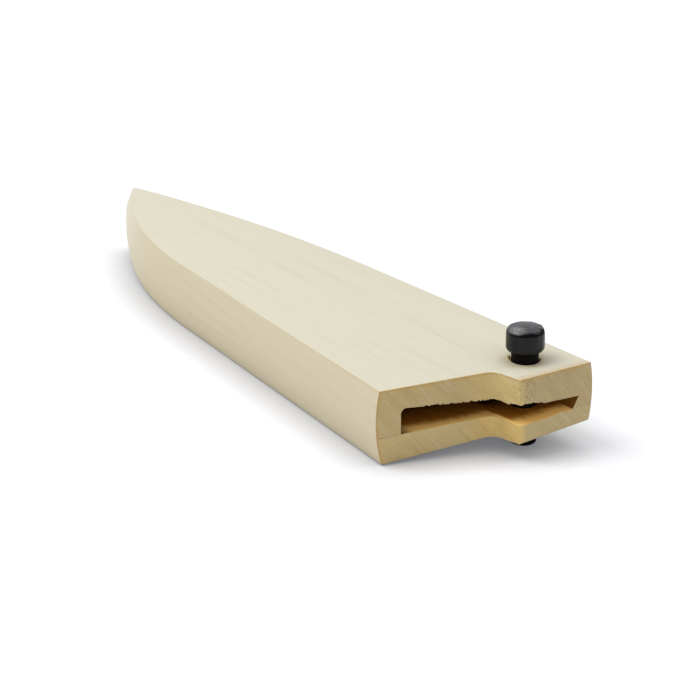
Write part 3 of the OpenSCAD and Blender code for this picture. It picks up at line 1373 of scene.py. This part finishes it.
@dataclass
class Studio:
    """Camera, floor, lamps and the white world round the sheath."""

    camera_at: Triple = (-297.736, 234.209, 170.733)
    yaw: float = -33.707
    pitch: float = 22.11
    roll: float = -0.409
    lens: float = 108.0
    sensor: float = 36.0
    floor_half: float = 1.6
    # Two places on the long lower edge that the sheath rests on, in millimetres
    rests: tuple[Triple, Triple] = ((10.4, 22.4, -5.92), (96.0, 17.4, -5.66))
    # Name, direction, strength and spread in degrees of each lamp
    lamps: tuple[tuple[str, Triple, float, float], ...] = (
        ("window", (0.13, 0.22, 0.4), 1.26, 34.0),
        ("back_light", (0.1, -0.3, 0.85), 0.38, 40.0),
    )
    room: float = 0.58
    finish: StudioFloor = field(default_factory=StudioFloor)

    def build(self) -> None:
        """Sets the camera, the floor, the lamps and the world."""
        self._camera()
        self._floor()
        self._lamps()
        self._world()
        bpy.context.scene.view_settings.view_transform = "Standard"
        log.info("studio set")

    def _camera(self) -> None:
        """Puts the camera where the photograph was taken from."""
        yaw, pitch, roll = (math.radians(a) for a in (self.yaw, self.pitch, self.roll))
        level = math.cos(pitch)
        ahead = Vector((math.cos(yaw) * level, math.sin(yaw) * level, -math.sin(pitch)))
        right = Vector((math.sin(yaw), -math.cos(yaw), 0))
        up = right.cross(ahead)
        turned_right = right * math.cos(roll) + up * math.sin(roll)
        turned_up = up * math.cos(roll) - right * math.sin(roll)
        data = bpy.data.cameras.new("photo_camera")
        data.lens = self.lens
        data.sensor_width = self.sensor
        data.clip_start = 0.01
        data.clip_end = 20
        camera = bpy.data.objects.new("photo_camera", data)
        bpy.context.scene.collection.objects.link(camera)
        turn = Matrix((turned_right, turned_up, -ahead)).transposed().to_4x4()
        camera.matrix_world = Matrix.Translation(Vector(self.camera_at) * MM) @ turn
        bpy.context.scene.camera = camera

    def _floor(self) -> None:
        """Lays the floor under the pin's end and the long edge that the sheath rests on."""
        pin_end = Vector((*PIN_AXIS, PIN_END)) * MM
        near, far = (Vector(place) * MM for place in self.rests)
        normal = (far - near).cross(pin_end - near).normalized()
        if normal.z < 0:
            normal = -normal
        Bench.clear()
        bpy.ops.mesh.primitive_grid_add(x_subdivisions=8, y_subdivisions=8,
                                        size=2 * self.floor_half)
        floor = bpy.context.object
        floor.name = "studio_floor"
        turn = normal.to_track_quat("Z", "Y").to_matrix().to_4x4()
        floor.matrix_world = Matrix.Translation(pin_end) @ turn
        Bench.settle(floor)
        floor.data.materials.append(self.finish.material())

    def _lamps(self) -> None:
        """Hangs two broad, even lamps: a strong one over the spine side, a weak one opposite."""
        for name, source, strength, spread in self.lamps:
            data = bpy.data.lights.new(name, "SUN")
            data.energy = strength
            data.angle = math.radians(spread)
            lamp = bpy.data.objects.new(name, data)
            bpy.context.scene.collection.objects.link(lamp)
            lamp.location = Vector(source).normalized()
            lamp.rotation_mode = "QUATERNION"
            lamp.rotation_quaternion = Vector(source).to_track_quat("Z", "Y")

    def _world(self) -> None:
        """Makes the world a soft white that the camera sees as plain white."""
        world = bpy.data.worlds.new("white_room")
        bpy.context.scene.world = world
        board = NodeBoard(world)
        path = board.node("LightPath").outputs
        seen = board.larger(path["Is Camera Ray"], path["Is Glossy Ray"])
        seen = board.larger(seen, path["Is Transmission Ray"])
        strength = board.node("MapRange", {"Value": seen, "To Min": self.room, "To Max": 1.0})
        back = board.node("Background", {"Color": (1, 1, 1, 1), "Strength": strength.outputs[0]})
        board.node("OutputWorld", {"Surface": back.outputs[0]})


def main() -> None:
    """Builds the pieces in order and sets the studio."""
    logging.basicConfig(level=logging.INFO, format="%(message)s")
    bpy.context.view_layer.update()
    ShowHalf("upper_half", "show_half", Slot.SHOW_WOOD, PaleWood("pale_wood")).build()
    # A lighter copy of the pale wood: painted light on the back half's end grain, ear and hollow,
    # where the floor shades them; its growth rings differ too
    back_wood_lightened = PaleWood("pale_wood_back", end=srgb(205, 181, 126), ear=srgb(195, 174, 125),
                         hollow=srgb(221, 191, 120), pith_y=40.0, pith_z=90.0)
    BackHalf("lower_half", "back_half", Slot.BACK_WOOD, back_wood_lightened).build()
    LockingPin().build()
    HoleSplinters().build()
    Studio().build()


if __name__ == "__main__":
    main()
